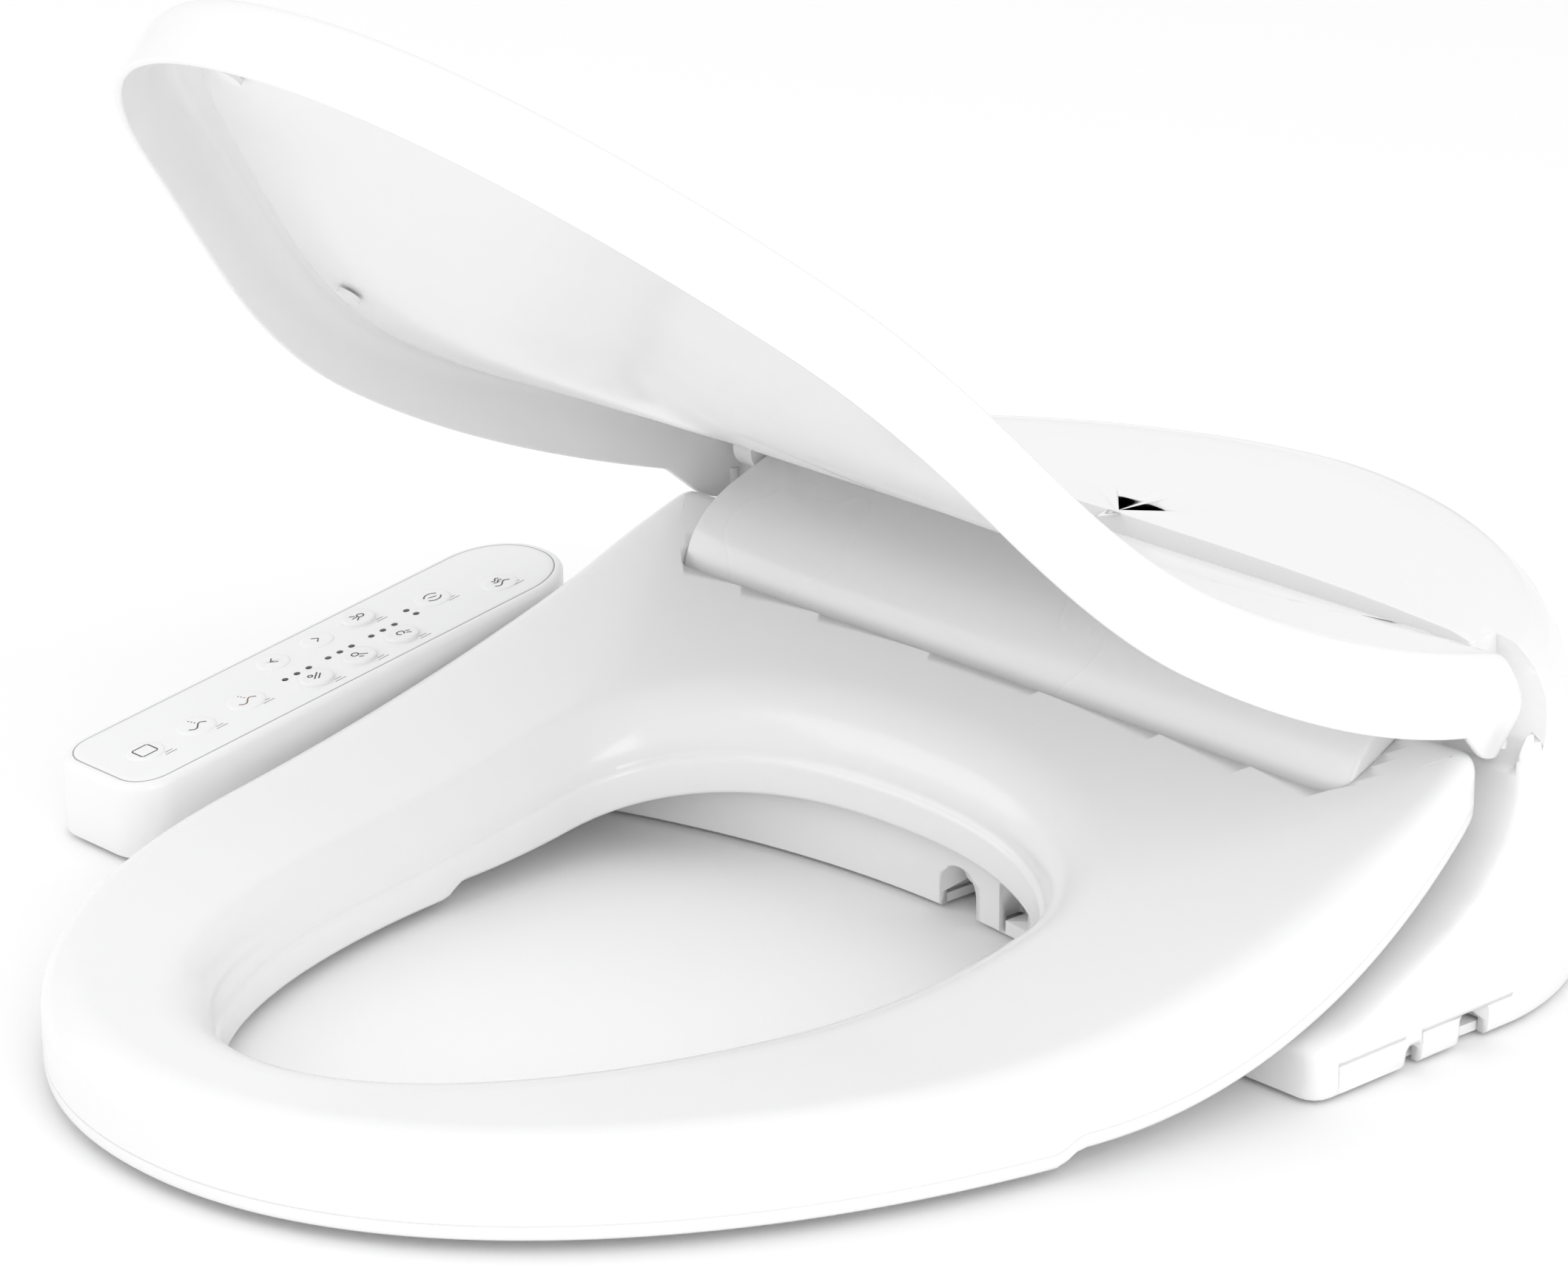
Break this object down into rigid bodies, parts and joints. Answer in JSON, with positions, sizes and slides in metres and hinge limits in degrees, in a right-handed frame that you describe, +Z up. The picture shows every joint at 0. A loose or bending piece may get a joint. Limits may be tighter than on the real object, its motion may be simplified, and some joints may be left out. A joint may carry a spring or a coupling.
{
  "type": "electric bidet seat",
  "caption": "Electric bidet seat: elongated heated ring and hinged lid on a domed housing with a retracting wash nozzle, dryer fan and sloping side panel of press buttons.",
  "frame": {"origin": "midway between the two toilet bolts, on the underside of the mounting plate", "axes": "+X to the right seen from the front, +Y to the wall, +Z up"},
  "size_m": [0.434, 0.524, 0.3239],
  "materials": {
    "shell_white": "glossy moulded",
    "liner_white": "satin moulded",
    "overlay": "satin printed film",
    "grey_plastic": "matte",
    "dark_plastic": "matte",
    "rubber": "matte",
    "soft_white": "soft matte",
    "steel": "brushed",
    "heater_foil": "foil",
    "board": "solder mask",
    "tube": "translucent tube",
    "light": "light guide",
    "key": "satin",
    "key_flat": "satin"
  },
  "bodies": {
    "housing": {"base_chassis": "liner_white", "front_cover": "shell_white", "rear_cover": "shell_white", "right_side_cover": "shell_white", "left_side_cover": "shell_white", "service_cover": "liner_white", "mounting_plate": "grey_plastic", "foot_pads": "rubber", "case_screws": "steel", "water_inlet": "grey_plastic", "inlet_filter": "dark_plastic", "solenoid_valve": "grey_plastic", "flow_valve": "grey_plastic", "heater_tank": "liner_white", "water_tubes": "tube", "drain_plug": "grey_plastic", "nozzle_guide": "grey_plastic", "nozzle_piston_cap": "grey_plastic", "fan_housing": "grey_plastic", "fan_motor": "dark_plastic", "dryer_duct": "grey_plastic", "dryer_heater": "heater_foil", "deodoriser_filter": "dark_plastic", "control_board": "board", "power_supply": "board", "cord_gland": "dark_plastic", "seat_damper": "dark_plastic", "lid_damper": "dark_plastic", "panel_casing": "shell_white", "panel_base": "shell_white", "panel_overlay": "overlay", "panel_board": "board", "panel_lights": "light"},
    "lid": {"lid_shell": "shell_white", "lid_liner": "liner_white", "lid_lugs": "shell_white", "lid_bumpers": "soft_white", "lid_pins": "dark_plastic"},
    "seat": {"seat_shell": "shell_white", "seat_underside": "shell_white", "seat_heater": "heater_foil", "seat_bumpers": "rubber", "seat_pins": "dark_plastic"},
    "nozzle": {"wash_nozzle": "steel", "nozzle_tip": "liner_white"},
    "impeller": {"fan_impeller": "dark_plastic"},
    "release": {"release_button": "grey_plastic"},
    "stop_button": {"stop_button": "key_flat"},
    "rear_wash_button": {"rear_wash_button": "key_flat"},
    "front_wash_button": {"front_wash_button": "key_flat"},
    "nozzle_back_button": {"nozzle_back_button": "key_flat"},
    "nozzle_forward_button": {"nozzle_forward_button": "key_flat"},
    "nozzle_clean_button": {"nozzle_clean_button": "key"},
    "pressure_button": {"pressure_button": "key"},
    "water_temp_button": {"water_temp_button": "key"},
    "seat_temp_button": {"seat_temp_button": "key"},
    "power_save_button": {"power_save_button": "key_flat"},
    "dryer_button": {"dryer_button": "key_flat"}
  },
  "joints": [
    {"name": "lid_hinge", "type": "hinge", "parent": "housing", "child": "lid", "pos_m": [0, -0.098, 0.1], "axis": [-1, 0, 0], "range_deg": [-42.1, 62]},
    {"name": "seat_hinge", "type": "hinge", "parent": "housing", "child": "seat", "pos_m": [0, -0.124, 0.074], "axis": [-1, 0, 0], "range_deg": [0, 34]},
    {"name": "nozzle_slide", "type": "slide", "parent": "housing", "child": "nozzle", "axis": [0, -0.9063, -0.4226], "range_m": [0, 0.1]},
    {"name": "impeller_spin", "type": "hinge", "parent": "housing", "child": "impeller", "pos_m": [0.1, -0.028, 0.012], "axis": [0, 0, 1], "continuous": true},
    {"name": "release_press", "type": "slide", "parent": "housing", "child": "release", "axis": [1, 0, 0], "range_m": [0, 0.003], "stiffness_N_per_m": 900, "springref_m": -0.002},
    {"name": "stop_button_press", "type": "slide", "parent": "housing", "child": "stop_button", "axis": [0, 0.1709, -0.9853], "range_m": [0, 0.0008], "stiffness_N_per_m": 700, "springref_m": -0.001},
    {"name": "rear_wash_button_press", "type": "slide", "parent": "housing", "child": "rear_wash_button", "axis": [0, 0.1709, -0.9853], "range_m": [0, 0.0008], "stiffness_N_per_m": 700, "springref_m": -0.001},
    {"name": "front_wash_button_press", "type": "slide", "parent": "housing", "child": "front_wash_button", "axis": [0, 0.1709, -0.9853], "range_m": [0, 0.0008], "stiffness_N_per_m": 700, "springref_m": -0.001},
    {"name": "nozzle_back_button_press", "type": "slide", "parent": "housing", "child": "nozzle_back_button", "axis": [0, 0.1709, -0.9853], "range_m": [0, 0.0008], "stiffness_N_per_m": 700, "springref_m": -0.001},
    {"name": "nozzle_forward_button_press", "type": "slide", "parent": "housing", "child": "nozzle_forward_button", "axis": [0, 0.1709, -0.9853], "range_m": [0, 0.0008], "stiffness_N_per_m": 700, "springref_m": -0.001},
    {"name": "nozzle_clean_button_press", "type": "slide", "parent": "housing", "child": "nozzle_clean_button", "axis": [0, 0.1709, -0.9853], "range_m": [0, 0.0008], "stiffness_N_per_m": 700, "springref_m": -0.001},
    {"name": "pressure_button_press", "type": "slide", "parent": "housing", "child": "pressure_button", "axis": [0, 0.1709, -0.9853], "range_m": [0, 0.0008], "stiffness_N_per_m": 700, "springref_m": -0.001},
    {"name": "water_temp_button_press", "type": "slide", "parent": "housing", "child": "water_temp_button", "axis": [0, 0.1709, -0.9853], "range_m": [0, 0.0008], "stiffness_N_per_m": 700, "springref_m": -0.001},
    {"name": "seat_temp_button_press", "type": "slide", "parent": "housing", "child": "seat_temp_button", "axis": [0, 0.1709, -0.9853], "range_m": [0, 0.0008], "stiffness_N_per_m": 700, "springref_m": -0.001},
    {"name": "power_save_button_press", "type": "slide", "parent": "housing", "child": "power_save_button", "axis": [0, 0.1709, -0.9853], "range_m": [0, 0.0008], "stiffness_N_per_m": 700, "springref_m": -0.001},
    {"name": "dryer_button_press", "type": "slide", "parent": "housing", "child": "dryer_button", "axis": [0, 0.1709, -0.9853], "range_m": [0, 0.0008], "stiffness_N_per_m": 700, "springref_m": -0.001}
  ]
}
